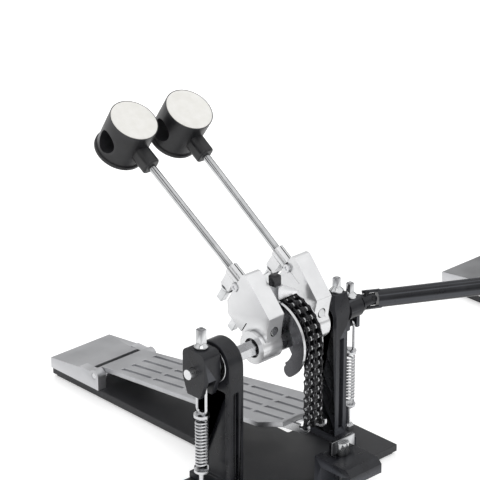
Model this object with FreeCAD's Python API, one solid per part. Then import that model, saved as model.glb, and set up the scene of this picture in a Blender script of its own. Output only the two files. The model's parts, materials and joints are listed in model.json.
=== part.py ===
import FreeCAD, Part
import math
import os

# Double bass drum pedal: a main unit with two beaters, a drive shaft with two universal
# joints, and a second footboard unit. Millimetres. X runs along the shaft towards the
# second unit, Y from the drum (minus) to the player (plus), Z up from the floor.
# X 0 is the middle of the main chain and Y 0 the main shaft's line.

Vec = FreeCAD.Vector
os.makedirs("parts", exist_ok=True)

# Driving sizes of the whole pedal
shaft_height = 150.0
chain_pitch = 9.525
link_turn = 14.0
pitch_radius = chain_pitch / 2 / math.sin(math.radians(link_turn / 2))
stroke_links = 3.5
full_stroke = stroke_links * link_turn
wrap_links = 7
moving_links = 3
drop_links = 9
heel_distance = 250.0
heel_height = 26.0
run_gap = 0.05
seat_gap = 0.02
free_gap = 0.4

# Shafts
shaft_flats = 15.0
shaft_journal_radius = 7.0
shaft_end_radius = 5.25
shaft_tip_x = -133.0
rocker_shaft_radius = 6.0
pilot_radius = 4.5
pilot_length = 18.0

# Right rocker, on the outside of the right upright
rocker_outer_x = -125.0
rocker_width = 21.0
rocker_half_depth = 15.5
rocker_top = 22.8
rocker_foot_half_depth = 9.0
rocker_reach = 26.0
rocker_corner = 7.0
fork_width = 10.0
fork_roof = 8.2
fork_pin_drop = 19.0
fork_pin_radius = 3.0
left_rocker_x = 82.0
left_rocker_width = 18.0
left_rocker_radius = 12.0
left_rocker_reach = 22.5
left_foot_half_depth = 6.0

# Uprights
right_upright_x = -100.0
right_upright_thickness = 19.0
right_head_radius = 24.5
right_post_half_depth = right_head_radius
groove_width = 6.0
groove_depth = 5.0
groove_drop = 26.0
pocket_depth = 3.0
pocket_margin = 7.0
left_upright_x = 65.0
left_post_thickness = 16.0
left_post_half_depth = 15.0
left_head_width = 27.0
left_head_top = 24.0
left_head_low = 13.0
left_neck_low = 7.0
left_top_half_depth = 8.0
left_top_inset = 5.0
left_shoulder = 4.0
left_bolt_share = 0.8
foot_height = 8.0
foot_margin = 7.0
screw_radius = 4.0
screw_head_height = 3.5
right_bearing_radius = 18.5
left_bearing_radius = 11.0
bearing_width = 11.0
bearing_step = 3.0
bearing_groove = 1.2
bearing_groove_shares = (0.3, 0.7)

# Beater hubs, rods and heads, drawn with the rod upright
right_lean_angle = 58.0
left_lean_angle = 56.0
right_rod_x = -34.0
left_rod_x = 27.0
right_blade_x = (-42.0, -21.4)
left_blade_x = (23.0, 43.6)
right_boss_x = (-47.0, -21.0)
left_boss_x = (20.0, 46.0)
hub_boss_radius = 17.0
hub_reach = 54.0
hub_outline_shares = [(-0.93, 1.0), (-0.985, 0.92), (-0.88, 0.52), (-0.745, 0.05), (-0.53, -0.03),
                      (-0.26, -0.16), (0.2, -0.1), (0.22, 0.22), (0.06, 0.4), (0.04, 0.86),
                      (-0.05, 0.9), (-0.17, 1.0)]
hub_round = 2.2
rod_offset = 35.4
rod_diameter = 8.0
rod_foot = 30.0
right_head_reach = 255.3
left_head_reach = 244.4
rod_clamp_radius = 7.0
rod_clamp_length = 19.0
rod_lug_width = 12.0
rod_lug_length = 13.0
rod_lug_reach = 20.0
rod_slit = 1.2
hub_counterbore_radius = 10.2
hub_counterbore_depth = 3.0
hub_bolt_shares = (0.038, 0.72)
hub_slit_share = 0.2
nut_shares = (-0.42, -0.045)
nut_tilt_angle = 40.0
nut_recess_share = 0.72
nut_share = 0.58
head_length = 47.4
head_radius = 26.0
head_flange_extra = 1.0
head_flange_depth = 3.5
head_edge_round = 0.7
head_waist_share = 0.94
flange_blend_share = 1.15
face_thickness = 3.0
face_rim = 0.8
face_proud = 0.6
side_hole_radius = 12.0
side_hole_back = 3.0
side_hole_rise = 2.0
neck_width = 17.0
neck_depth = 19.0
neck_length = 19.0
neck_round = 6.0
neck_end_round = 2.2
rod_socket = 12.0

# Square headed key bolts
key_flats = 7.6
key_head_height = 15.0
left_key_flats = 6.2
left_key_height = 10.0
key_flange_radius = 7.2
key_flange = 2.2
key_cone = 4.0
key_shank_radius = 3.0
key_shank = 7.0
key_chamfer = 1.4

# Cam and its lining
cam_flange_x = -16.0
cam_flange_thickness = 3.0
cam_flange_radius = 41.5
cam_flange_inner = 28.5
cam_rim_x = 10.8
cam_rim_thickness = 1.2
cam_rim_radius = 40.5
cam_hub_x = -20.6
cam_hub_radius = 14.0
cam_bed_inner = 26.0
cam_web = 7.0
lining_thickness = 2.4
cam_top_angle = 101.0
cam_end_angle = -55.0
lining_end_angle = -49.0
horn_radius = 58.0
horn_start_angle = 84.0
guard_edge = 2.0
guard_share = 0.9
square_bolt = 9.0
square_bolt_height = 12.0
square_bolt_sink = 1.6
set_screw_radius = 3.2
set_screw_half_depth = 2.5

# Double row chain
plate_radius = 4.0
plate_waist = 3.1
roller_radius = 3.1
pin_radius = 1.7
row_offset = 4.9
inner_plate = 1.0
roller_half = 2.6
outer_plate_x = 8.9
outer_plate = 1.0
middle_plate_half = 1.0
toe_pin_half = 14.0

# Stirrups, springs and their tensioners
stirrup_wire = 1.5
stirrup_inner = 5.0
stirrup_length = 22.0
stirrup_sag = 1.0
cap_radius = 8.0
cap_thickness = 3.0
spring_radius = 6.0
spring_wire = 1.0
spring_pitch = 3.52
spring_bend = 2.4
tensioner_radius = 3.0
tensioner_nut = 6.0
tensioner_nut_height = 5.0
tensioner_rise = 29.5
spring_x_right = rocker_outer_x + rocker_width / 2
spring_x_left = left_rocker_x + left_rocker_width / 2

# Base plates, heel plates and footboards
pad_thickness = 3.0
pad_inset = 3.0
plate_thickness = 8.0
plate_top = pad_thickness + plate_thickness
front_plate_front = -60.0
front_plate_back = 36.0
main_plate_left = 103.0
main_plate_right = -125.0
tongue_half = 40.0
tongue_back = 322.0
heel_front = 262.0
heel_top = 30.0
heel_lip = 23.0
heel_half = 42.0
heel_lug = 11.0
heel_pin_radius = 3.5
knuckle_radius = 7.0
knuckle_half = heel_half - heel_lug - free_gap
board_low = 2.0
board_thickness = 6.0
board_toe_half = 42.0
board_toe_gap = 14.0
board_slot_length = 46.0
board_slot_width = 5.0
board_slot_rows = 5
board_slot_columns = 4
board_slot_spread = 15.0
board_slot_pitch_share = 1.12
board_slot_start_share = 0.5
board_rib = 3.0
clevis_plate = 3.0
clevis_half_height = 7.0
clevis_length = 34.0
clevis_slot_half = 3.4
clevis_slot_rise = 0.9

# Hoop clamp at the front of the main base
lip_half = 24.0
lip_front = -114.0
jaw_half = 22.0
jaw_back = -64.0
jaw_low = 36.0
jaw_thickness = 10.0
jaw_leg = 9.0
jaw_nose = 6.0
hoop_screw_y = -80.0
hoop_screw_radius = 3.5
wing_half = 16.0
wing_height = 14.0
wing_thickness = 4.0
wing_hub_radius = 7.0

# Drive shaft and universal joints
bend_angle = 28.0
joint_x = 116.8
joint_spacing = 300.0
fork_hub_radius = 9.4
fork_hub_start = 10.0
fork_hub_length = 14.0
ear_inner = 6.6
ear_thickness = 3.6
ear_half_width = 4.8
cross_pin_radius = 2.6
cross_block = ear_inner - free_gap
cross_gap = 0.3
tube_radius = 9.4
tube_length = 165.0
inner_bar_radius = 7.0
inner_bar_overlap = 60.0

# Second unit
second_inner_half = 46.0
second_upright_thickness = 14.0
second_head_radius = 20.0
second_post_half_depth = 17.0
second_bearing_radius = 14.0
second_plate_half = 66.0
second_shaft_gap = 12.0
second_hex_margin = 26.0

axis_x = Vec(1, 0, 0)
axis_y = Vec(0, 1, 0)
axis_z = Vec(0, 0, 1)
shaft_lift = Vec(0, 0, shaft_height)
half_turn = 180.0
quarter_turn = 90.0
sixth_turn = 60.0

# Where the drive shaft's two joints and the second unit stand
cross_start = -full_stroke / 2
bend_rad = math.radians(bend_angle)
start_rad = math.radians(cross_start)
drive_line = Vec(math.cos(bend_rad), -math.sin(bend_rad), 0)
cross_first = Vec(0, math.cos(start_rad), math.sin(start_rad))
cross_second = drive_line.cross(cross_first).normalize()
near_joint = Vec(joint_x, 0, shaft_height)
far_joint = near_joint + drive_line * joint_spacing
second_shaft_start = far_joint.x + fork_hub_start + fork_hub_length
second_x = second_shaft_start + second_shaft_gap + second_upright_thickness + second_inner_half
second_y = far_joint.y


def save(name, shape):
    shape.exportStep("parts/" + name + ".step")


def fuse(shapes):
    return shapes[0].multiFuse(shapes[1:]).removeSplitter()


def block(x, y, z):
    return Part.makeBox(x[1] - x[0], y[1] - y[0], z[1] - z[0], Vec(x[0], y[0], z[0]))


def round_bar(start, end, radius):
    line = end - start
    return Part.makeCylinder(radius, line.Length, start, line)


def bar_x(x, radius, y=0, z=0):
    return round_bar(Vec(x[0], y, z), Vec(x[1], y, z), radius)


def prism_x(x, points):
    wire = Part.makePolygon([Vec(x[0], y, z) for y, z in points + points[:1]])
    return Part.Face(wire).extrude(Vec(x[1] - x[0], 0, 0))


def hex_bar(x, flats):
    radius = flats / 2 / math.cos(math.radians(sixth_turn / 2))
    angles = [math.radians(sixth_turn * k + sixth_turn / 2) for k in range(6)]
    return prism_x(x, [(radius * math.cos(a), radius * math.sin(a)) for a in angles])


def polar(x, radius, angle):
    turn = math.radians(angle)
    return Vec(x, -radius * math.cos(turn), radius * math.sin(turn))


def sector(x, radii, angles):
    middle = (angles[0] + angles[1]) / 2
    outer = Part.Arc(*[polar(x[0], radii[1], a) for a in (angles[0], middle, angles[1])])
    inner = Part.Arc(*[polar(x[0], radii[0], a) for a in (angles[1], middle, angles[0])])
    first = Part.LineSegment(outer.EndPoint, inner.StartPoint)
    last = Part.LineSegment(inner.EndPoint, outer.StartPoint)
    wire = Part.Wire([edge.toShape() for edge in (outer, first, inner, last)])
    return Part.Face(wire).extrude(Vec(x[1] - x[0], 0, 0))


def placed(shape, move, rotation=FreeCAD.Rotation()):
    copy = shape.copy()
    copy.Placement = FreeCAD.Placement(move, rotation).multiply(copy.Placement)
    return copy


def leaned(shape, lean):
    return placed(shape, shaft_lift, FreeCAD.Rotation(axis_x, -lean))


def along(direction):
    return FreeCAD.Rotation(axis_z, direction)


def key_bolt(seat, direction, flats=key_flats, height=key_head_height):
    head_low = key_flange + key_cone
    half = flats / 2
    head = block((-half, half), (-half, half), (key_flange, head_low + height))
    top_edges = [e for e in head.Edges if e.BoundBox.ZMin > head_low]
    head = head.makeChamfer(key_chamfer, top_edges)
    flange = Part.makeCylinder(key_flange_radius, key_flange)
    cone = Part.makeCone(key_flange_radius, half, key_cone, Vec(0, 0, key_flange))
    shank = Part.makeCylinder(key_shank_radius, key_shank, Vec(0, 0, -key_shank))
    return placed(fuse([head, flange, cone, shank]), seat, along(direction))


def key_hole(seat, direction):
    radius = key_shank_radius + run_gap
    hole = Part.makeCylinder(radius, key_shank + free_gap, Vec(0, 0, -key_shank - free_gap))
    return placed(hole, seat, along(direction))


# Bearing ring with a shield groove in both faces
def bearing(x_start, outer, inner, y=0):
    x = (x_start, x_start + bearing_width)
    ring = bar_x(x, outer - seat_gap).cut(bar_x(x, inner + run_gap))
    groove_in, groove_out = [inner + (outer - inner) * share for share in bearing_groove_shares]
    for low in (x[0], x[1] - bearing_groove):
        span = (low, low + bearing_groove)
        ring = ring.cut(bar_x(span, groove_out).cut(bar_x(span, groove_in)))
    return placed(ring, shaft_lift + Vec(0, y, 0))


# Upright with a round head, a front groove and a screwed foot
def round_upright(x_start, thickness, head, half_depth, bearing_outer, y=0):
    x = (x_start, x_start + thickness)
    post = block(x, (-half_depth, half_depth), (plate_top, shaft_height))
    crown = bar_x(x, head, 0, shaft_height)
    foot_y = half_depth + foot_margin + screw_radius
    foot = block(x, (-foot_y, foot_y), (plate_top, plate_top + foot_height))
    body = fuse([post, crown, foot])
    middle = (x[0] + x[1]) / 2
    groove_x = (middle - groove_width / 2, middle + groove_width / 2)
    groove_top = shaft_height - groove_drop
    groove_low = plate_top + foot_height * 2
    body = body.cut(block(groove_x, (-head, groove_depth - half_depth), (groove_low, groove_top)))
    side = half_depth - pocket_margin
    for low in (x[0], x[1] - pocket_depth):
        pocket = block((low, low + pocket_depth), (-side, side), (groove_low, groove_top))
        body = body.cut(pocket)
    seat = bar_x((x[0], x[0] + bearing_width), bearing_outer, 0, shaft_height)
    step = bar_x(x, bearing_outer - bearing_step, 0, shaft_height)
    return placed(body.cut(seat).cut(step), Vec(0, y, 0))


# Narrow upright whose head flares out above the neck on the rocker's side
def left_upright():
    half = left_post_thickness / 2
    head_half = left_head_width / 2
    head_top = shaft_height + left_head_top
    head_low = shaft_height + left_head_low
    neck = shaft_height - left_neck_low
    points = [(-half, plate_top), (half, plate_top), (half, neck), (head_half, head_low),
              (head_half, head_top), (left_top_inset - half, head_top), (-half, head_low)]
    depth = left_post_half_depth
    wire = Part.makePolygon([Vec(left_upright_x + x, -depth, z) for x, z in points + points[:1]])
    body = Part.Face(wire).extrude(axis_y * (2 * depth))
    x = (left_upright_x - half, left_upright_x + half)
    foot_y = depth + foot_margin + screw_radius * 2
    foot = block(x, (-foot_y, foot_y), (plate_top, plate_top + foot_height))
    shoulder = shaft_height + left_shoulder
    top_depth = left_top_half_depth
    whole = (left_upright_x - half, left_upright_x + head_half)
    crown = prism_x(whole, [(-depth, plate_top), (-depth, shoulder), (-top_depth, head_top),
                            (top_depth, head_top), (depth, shoulder), (depth, plate_top)])
    body = fuse([body.common(crown), foot])
    groove_x = (left_upright_x - groove_width / 2, left_upright_x + groove_width / 2)
    groove_z = (plate_top + foot_height * 2, shaft_height - groove_drop + foot_height / 2)
    body = body.cut(block(groove_x, (-depth, groove_depth - depth), groove_z))
    seat_x = left_upright_x - bearing_width / 2
    open_x = (seat_x, whole[1])
    body = body.cut(bar_x(open_x, left_bearing_radius, 0, shaft_height))
    body = body.cut(bar_x(whole, left_bearing_radius - bearing_step / 2, 0, shaft_height))
    seat = Vec(left_upright_x + half * left_bolt_share, 0, head_top)
    return body.cut(key_hole(seat, axis_z)), seat


# Rocker with a forked foot, across which the stirrup's pin lies
def right_rocker():
    x = (rocker_outer_x, rocker_outer_x + rocker_width)
    side = rocker_half_depth
    foot = rocker_foot_half_depth
    points = [(-side, -foot), (-side, rocker_top), (side, rocker_top), (side, -foot),
              (foot, -rocker_reach), (-foot, -rocker_reach)]
    body = prism_x(x, points)
    corners = [e for e in body.Edges if abs(abs(e.CenterOfMass.y) - side) < run_gap
               and e.CenterOfMass.z > rocker_top - run_gap and e.BoundBox.XLength > free_gap]
    body = body.makeFillet(rocker_corner, corners)
    body = fork_cut(body, (x[0] + x[1]) / 2, shaft_end_radius)
    seat = Vec((x[0] + x[1]) / 2, 0, rocker_top)
    body = body.cut(key_hole(seat, axis_z))
    return placed(body, shaft_lift), placed(key_bolt(seat, axis_z), shaft_lift)


def fork_cut(body, middle, bore):
    x = (middle - fork_width / 2, middle + fork_width / 2)
    wide = rocker_half_depth * 2
    body = body.cut(block(x, (-wide, wide), (-rocker_reach, -fork_roof)))
    pin_x = (x[0] - free_gap, x[1] + free_gap)
    body = fuse([body, bar_x(pin_x, fork_pin_radius, 0, -fork_pin_drop)])
    return body.cut(bar_x((rocker_outer_x * 2, -rocker_outer_x * 2), bore + seat_gap))


def left_rocker():
    x = (left_rocker_x, left_rocker_x + left_rocker_width)
    boss = bar_x(x, left_rocker_radius)
    foot = left_foot_half_depth
    arm = block(x, (-foot, foot), (-left_rocker_reach, 0))
    cap = block(x, (-key_flange_radius, key_flange_radius), (0, left_rocker_radius))
    middle = (x[0] + x[1]) / 2
    body = fork_cut(fuse([boss, arm, cap]), middle, rocker_shaft_radius)
    seat = Vec(middle, 0, left_rocker_radius)
    hole = key_hole(seat, axis_z)
    bolt = key_bolt(seat, axis_z, left_key_flats, left_key_height)
    return [placed(shape, shaft_lift) for shape in (body.cut(hole), bolt, hole)]


# Hub casting: a thick blade beside the rod and a boss round the shaft
def beater_hub(rod_x, x, boss_x, lean):
    x_middle = (x[0] + x[1]) / 2
    hub_width = x[1] - x[0]
    blade = prism_x(x, [(hub_reach * a, hub_reach * b) for a, b in hub_outline_shares])
    long_edges = [e for e in blade.Edges if e.BoundBox.XLength > free_gap]
    blade = blade.makeFillet(hub_round, long_edges)
    hub = fuse([blade, bar_x(boss_x, hub_boss_radius)])
    hub = hub.cut(bar_x((boss_x[0], boss_x[0] + hub_counterbore_depth), hub_counterbore_radius))
    rod_hole = rod_diameter / 2 + seat_gap
    hub = hub.cut(round_bar(Vec(rod_x, -rod_offset, rod_foot),
                            Vec(rod_x, -rod_offset, hub_reach * 2), rod_hole))
    clamp_seat = Vec(x_middle, hub_reach * hub_bolt_shares[0], hub_reach * hub_bolt_shares[1])
    hub = hub.cut(key_hole(clamp_seat, axis_y))
    hub = hub.cut(round_bar(clamp_seat, clamp_seat + axis_y * hub_width, key_flange_radius + free_gap))
    slit_y = (-hub_reach * hub_slit_share, hub_reach * hub_slit_share)
    slit_z = (hub_boss_radius + hub_round * 2, hub_boss_radius + hub_round * 2 + rod_slit)
    hub = hub.cut(block(x, slit_y, slit_z))
    nut_way = Vec(0, -math.sin(math.radians(nut_tilt_angle)), -math.cos(math.radians(nut_tilt_angle)))
    nut_seat = Vec(x_middle, hub_reach * nut_shares[0], hub_reach * nut_shares[1])
    recess = round_bar(nut_seat - nut_way * hub_round, nut_seat + nut_way * hub_width,
                       key_flange_radius * nut_recess_share)
    nut = round_bar(nut_seat - nut_way * hub_round, nut_seat + nut_way * hub_round,
                    key_flange_radius * nut_share)
    hub = hub.cut(recess)
    clamp_bolt = key_bolt(clamp_seat, axis_y)
    rod_clamp, rod_bolt = rod_clamp_shapes(rod_x)
    bolts = [clamp_bolt, rod_bolt, nut]
    bore = placed(hex_bar(boss_x, shaft_flats + 2 * seat_gap), shaft_lift)
    return leaned(hub, lean).cut(bore), leaned(rod_clamp, lean), [leaned(b, lean) for b in bolts]


# Split barrel that grips the rod above the hub, with its lug and bolt at the back
def rod_clamp_shapes(x_middle):
    top = hub_reach + rod_clamp_length
    barrel = round_bar(Vec(x_middle, -rod_offset, hub_reach), Vec(x_middle, -rod_offset, top),
                       rod_clamp_radius)
    lug_x = (x_middle - rod_lug_width / 2, x_middle + rod_lug_width / 2)
    lug_z = (top - rod_lug_length - rod_slit, top - rod_slit)
    seat_y = rod_lug_reach - rod_offset
    body = fuse([barrel, block(lug_x, (-rod_offset, seat_y), lug_z)])
    body = body.cut(round_bar(Vec(x_middle, -rod_offset, hub_reach),
                              Vec(x_middle, -rod_offset, top), rod_diameter / 2 + seat_gap))
    slit_y = (-rod_offset - rod_clamp_radius * 2, -rod_offset)
    body = body.cut(block((x_middle - rod_slit / 2, x_middle + rod_slit / 2), slit_y, (hub_reach, top)))
    seat = Vec(x_middle, seat_y, (lug_z[0] + lug_z[1]) / 2)
    return body.cut(key_hole(seat, axis_y)), key_bolt(seat, axis_y)


# Beater: a rod, and a waisted black shell with a pale face on its drum side
def beater(x_middle, lean, reach):
    rod_top = reach - rod_socket
    line_y = -rod_offset
    rod = round_bar(Vec(x_middle, line_y, rod_foot), Vec(x_middle, line_y, rod_top), rod_diameter / 2)
    back = line_y + head_length / 2
    front = line_y - head_length / 2
    flange = head_radius + head_flange_extra
    waist = head_radius * head_waist_share + head_flange_extra
    flange_front = back - head_flange_depth
    waist_back = back - head_flange_depth * flange_blend_share
    rim = front + face_proud
    seat = front + face_thickness
    face_seat = head_radius - face_rim
    profile = [(0, back), (flange, back), (flange, flange_front), (waist, waist_back),
               (head_radius, seat + face_thickness), (head_radius, rim), (face_seat, rim),
               (face_seat, seat), (0, seat)]
    wire = Part.makePolygon([Vec(r, y, 0) for r, y in profile + profile[:1]])
    shell = Part.Face(wire).revolve(Vec(), axis_y, 2 * half_turn)
    lip = [e for e in shell.Edges if e.BoundBox.XLength > 2 * flange - run_gap]
    shell = shell.makeFillet(head_edge_round, lip)
    shell = placed(shell, Vec(x_middle, 0, reach))
    neck_x = (x_middle - neck_width / 2, x_middle + neck_width / 2)
    neck_y = (line_y - neck_depth / 2, line_y + neck_depth / 2)
    neck_low = reach - head_radius - neck_length
    neck = block(neck_x, neck_y, (neck_low, reach - head_radius / 2))
    neck = neck.makeFillet(neck_round, [e for e in neck.Edges if e.BoundBox.ZLength > neck_length])
    neck = neck.makeFillet(neck_end_round, [e for e in neck.Edges if e.BoundBox.ZMax < neck_low + run_gap])
    shell = fuse([shell, neck])
    across = (x_middle - 2 * head_radius, x_middle + 2 * head_radius)
    hole_y = line_y + side_hole_back
    shell = shell.cut(bar_x(across, side_hole_radius, hole_y, reach + side_hole_rise))
    shell = shell.cut(round_bar(Vec(x_middle, line_y, 0), Vec(x_middle, line_y, rod_top),
                                rod_diameter / 2 + seat_gap))
    face_radius = face_seat - seat_gap
    face = round_bar(Vec(x_middle, seat, reach), Vec(x_middle, front, reach), face_radius)
    front_edge = [e for e in face.Edges if e.BoundBox.YMax < front + run_gap]
    face = face.makeFillet(face_thickness / 3, front_edge)
    return [leaned(shape, lean) for shape in (rod, shell, face)]


# Cam: hub, web, chain bed, a crescent flange, a low rim and the chain's anchor horn
def cam():
    lining_radius = pitch_radius * math.cos(math.radians(link_turn / 2)) - plate_radius - free_gap
    bed_radius = lining_radius - lining_thickness
    bed_x = (cam_flange_x, cam_rim_x + cam_rim_thickness)
    span = (cam_end_angle, cam_top_angle)
    flange_x = (cam_flange_x, cam_flange_x + cam_flange_thickness)
    rim_x = (cam_rim_x, bed_x[1])
    hub_x = (cam_hub_x, bed_x[1])
    web_x = (-cam_web / 2, cam_web / 2)
    horn_x = (cam_flange_x - free_gap, cam_flange_x + cam_flange_thickness * 2)
    pieces = [bar_x(hub_x, cam_hub_radius), sector(bed_x, (cam_bed_inner, bed_radius), span),
              sector(flange_x, (cam_flange_inner, cam_flange_radius), span),
              sector(rim_x, (cam_bed_inner, cam_rim_radius), span),
              sector(web_x, (cam_hub_radius / 2, cam_bed_inner + free_gap), span),
              sector(horn_x, (cam_bed_inner, horn_radius), (horn_start_angle, cam_top_angle)),
              chain_guard(horn_x, bed_x[1])]
    body = fuse(pieces)
    tip = polar(0, (cam_flange_inner + cam_flange_radius) / 2, cam_end_angle)
    tip_radius = (cam_flange_radius - cam_flange_inner) / 2
    body = fuse([body, bar_x(flange_x, tip_radius, tip.y, tip.z)])
    body = body.cut(hex_bar(hub_x, shaft_flats + 2 * seat_gap))
    anchor = polar(0, pitch_radius, wrap_links * link_turn)
    pin_x = (flange_x[1] - free_gap, rim_x[0] + free_gap)
    body = fuse([body, bar_x(pin_x, pin_radius, anchor.y, anchor.z)])
    lining_x = (flange_x[1], rim_x[0])
    lining_span = (lining_end_angle, horn_start_angle)
    lining = sector(lining_x, (bed_radius, lining_radius), lining_span)
    screw_way = polar(0, 1, wrap_links * link_turn / 2)
    screw_seat = Vec(cam_hub_x + set_screw_radius + free_gap, 0, 0) + screw_way * cam_hub_radius
    screw_half = screw_way * set_screw_half_depth
    screw = round_bar(screw_seat - screw_half, screw_seat + screw_half, set_screw_radius)
    body = body.cut(screw)
    bolt = horn_bolt((horn_x[0] + horn_x[1]) / 2)
    return body.cut(bolt), lining, [screw, bolt]


# Wedge that leans from the horn over the end of the chain
def chain_guard(horn_x, end):
    low = pitch_radius + plate_radius + free_gap
    points = [(horn_x[0], low), (horn_x[0], horn_radius), (horn_x[1], horn_radius),
              (end, low + guard_edge), (end, low)]
    depth = 2 * horn_radius * math.sin(math.radians((cam_top_angle - horn_start_angle) / 2)) * guard_share
    wire = Part.makePolygon([Vec(x, -depth / 2, z) for x, z in points + points[:1]])
    return horn_placed(Part.Face(wire).extrude(axis_y * depth))


# From upright to the middle of the horn's turn
def horn_placed(shape, x_middle=0):
    lean = quarter_turn - (horn_start_angle + cam_top_angle) / 2
    return placed(shape, axis_x * x_middle, FreeCAD.Rotation(axis_x, lean))


# Square bolt that stands on the horn's top
def horn_bolt(x_middle):
    half = square_bolt / 2
    low = horn_radius - square_bolt_sink
    bolt = block((-half, half), (-half, half), (low, low + square_bolt_height))
    top_edges = [e for e in bolt.Edges if e.BoundBox.ZMin > low + half]
    return horn_placed(bolt.makeChamfer(key_chamfer, top_edges), x_middle)


# Chain plate between two pins, waisted in the middle
def chain_plate(upper, lower, x):
    line = (lower - upper).normalize()
    side = axis_x.cross(line)
    shift = axis_x * x[0]
    middle = (upper + lower) / 2
    round_side = side * plate_radius
    round_end = line * plate_radius
    waist = side * plate_waist
    low_end = Part.Arc(lower + round_side, lower + round_end, lower - round_side)
    back = Part.Arc(lower - round_side, middle - waist, upper - round_side)
    top_end = Part.Arc(upper - round_side, upper - round_end, upper + round_side)
    front = Part.Arc(upper + round_side, middle + waist, lower + round_side)
    wire = Part.Wire([edge.toShape() for edge in (low_end, back, top_end, front)])
    return placed(Part.Face(wire).extrude(axis_x * (x[1] - x[0])), shift)


def pin_link(upper, lower, half=outer_plate_x + outer_plate):
    outer = (outer_plate_x, outer_plate_x + outer_plate)
    spans = [outer, (-middle_plate_half, middle_plate_half), (-outer[1], -outer[0])]
    pieces = [chain_plate(upper, lower, span) for span in spans]
    width = outer[1]
    pieces.append(bar_x((-width, width), pin_radius, upper.y, upper.z))
    pieces.append(bar_x((-half, half), pin_radius, lower.y, lower.z))
    return [fuse(pieces)]


def roller_link(upper, lower):
    rows = []
    for middle in (-row_offset, row_offset):
        near = (middle - roller_half - inner_plate, middle - roller_half)
        far = (middle + roller_half, middle + roller_half + inner_plate)
        pieces = [chain_plate(upper, lower, near), chain_plate(upper, lower, far)]
        for centre in (upper, lower):
            pieces.append(bar_x((near[1], far[0]), roller_radius, centre.y, centre.z))
        row = fuse(pieces)
        for centre in (upper, lower):
            row = row.cut(bar_x((near[0], far[1]), pin_radius + run_gap, centre.y, centre.z))
        rows.append(row)
    return rows


# Chain pins lie on the pitch circle down to angle 0, then hang straight down
def chain_pin(number):
    if number >= 0:
        return polar(0, pitch_radius, number * link_turn)
    return polar(0, pitch_radius, 0) + axis_z * (number * chain_pitch)


def chain_links(first, last):
    links = []
    for number in range(first, last, -1):
        ends = (chain_pin(number), chain_pin(number - 1))
        if number % 2:
            links += roller_link(*ends)
        elif number - 1 == -drop_links:
            links += pin_link(*ends, half=toe_pin_half)
        else:
            links += pin_link(*ends)
    return Part.Compound(links)


# Wire loop that hangs on the rocker's pin and carries the spring's top
def stirrup(x_middle):
    top = -fork_pin_drop - stirrup_sag
    low = top - stirrup_length
    path_radius = stirrup_inner + stirrup_wire
    upper = Part.Arc(Vec(0, -path_radius, top), Vec(0, 0, top + path_radius), Vec(0, path_radius, top))
    right = Part.LineSegment(Vec(0, path_radius, top), Vec(0, path_radius, low))
    lower = Part.Arc(Vec(0, path_radius, low), Vec(0, 0, low - path_radius), Vec(0, -path_radius, low))
    left = Part.LineSegment(Vec(0, -path_radius, low), Vec(0, -path_radius, top))
    path = Part.Wire([edge.toShape() for edge in (upper, right, lower, left)])
    section = Part.Wire(Part.makeCircle(stirrup_wire, Vec(0, -path_radius, top), axis_z))
    loop = path.makePipeShell([section], True, True)
    cap_z = low - path_radius
    cap = Part.makeCylinder(cap_radius, cap_thickness, Vec(0, 0, cap_z - cap_thickness))
    spring_top = shaft_height + cap_z - cap_thickness
    return placed(fuse([loop, cap]), shaft_lift + axis_x * x_middle), spring_top


# Middle of the arc that leaves a point along a direction and ends at another point
def arc_middle(start, direction, end):
    chord = end - start
    unit = Vec(chord).normalize()
    rise = direction - unit * direction.dot(unit)
    turn = direction.getAngle(unit)
    return (start + end) / 2 + rise.normalize() * (chord.Length / 2 * math.tan(turn / 2))


def arc_from(start, direction, end):
    return Part.Arc(start, arc_middle(start, direction, end), end)


# Two arcs that join two points with the given directions
def biarc(start, start_way, end, end_way):
    span = end - start
    ways = start_way + end_way
    spread = 2 * (1 - start_way.dot(end_way))
    reach = (math.sqrt(span.dot(ways) ** 2 + spread * span.dot(span)) - span.dot(ways)) / spread
    joint = (start + end + (start_way - end_way) * reach) / 2
    return [arc_from(start, start_way, joint), arc_from(end, end_way * -1, joint)]


# Spring: one round tube along quarter turn biarcs, with bent up straight ends
def spring(x_middle, bottom, top):
    straight = 2 * spring_wire
    low = bottom + straight + spring_bend
    wound = top - straight - spring_bend - low
    spring_turns = round(wound / spring_pitch)
    climb = wound / spring_turns
    slope = climb / (2 * math.pi * spring_radius)

    def helix_point(turn):
        angle = 2 * math.pi * turn
        return Vec(spring_radius * math.cos(angle), spring_radius * math.sin(angle), low + climb * turn)

    def helix_way(turn):
        angle = 2 * math.pi * turn
        return Vec(-math.sin(angle), math.cos(angle), slope).normalize()

    turns = [quarter / 4 for quarter in range(4 * spring_turns + 1)]
    first = helix_point(turns[0])
    last = helix_point(turns[-1])
    low_end = first - (axis_y + axis_z) * spring_bend
    top_end = last + (axis_y + axis_z) * spring_bend
    curves = [Part.LineSegment(low_end - axis_z * straight, low_end)]
    curves += biarc(low_end, axis_z, first, helix_way(turns[0]))
    for start, end in zip(turns, turns[1:]):
        curves += biarc(helix_point(start), helix_way(start), helix_point(end), helix_way(end))
    curves += biarc(last, helix_way(turns[-1]), top_end, axis_z)
    curves.append(Part.LineSegment(top_end, top_end + axis_z * straight))
    path = Part.Wire(Part.__sortEdges__([curve.toShape() for curve in curves]))
    section = Part.Wire(Part.makeCircle(spring_wire, low_end - axis_z * straight, axis_z))
    tube = path.makePipeShell([section], True, False)
    print("spring least gap to itself", round(least_gap(path), 2), "valid", tube.isValid())
    return placed(tube, axis_x * x_middle)


# Least gap between stretches of a spring that lie at least half a turn apart
def least_gap(path):
    spacing = spring_wire / 2
    points = path.discretize(Distance=spacing)
    apart = int(math.pi * spring_radius / spacing)
    gaps = [(a - b).Length for i, a in enumerate(points) for b in points[i + apart:]]
    return min(gaps) - 2 * spring_wire


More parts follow.
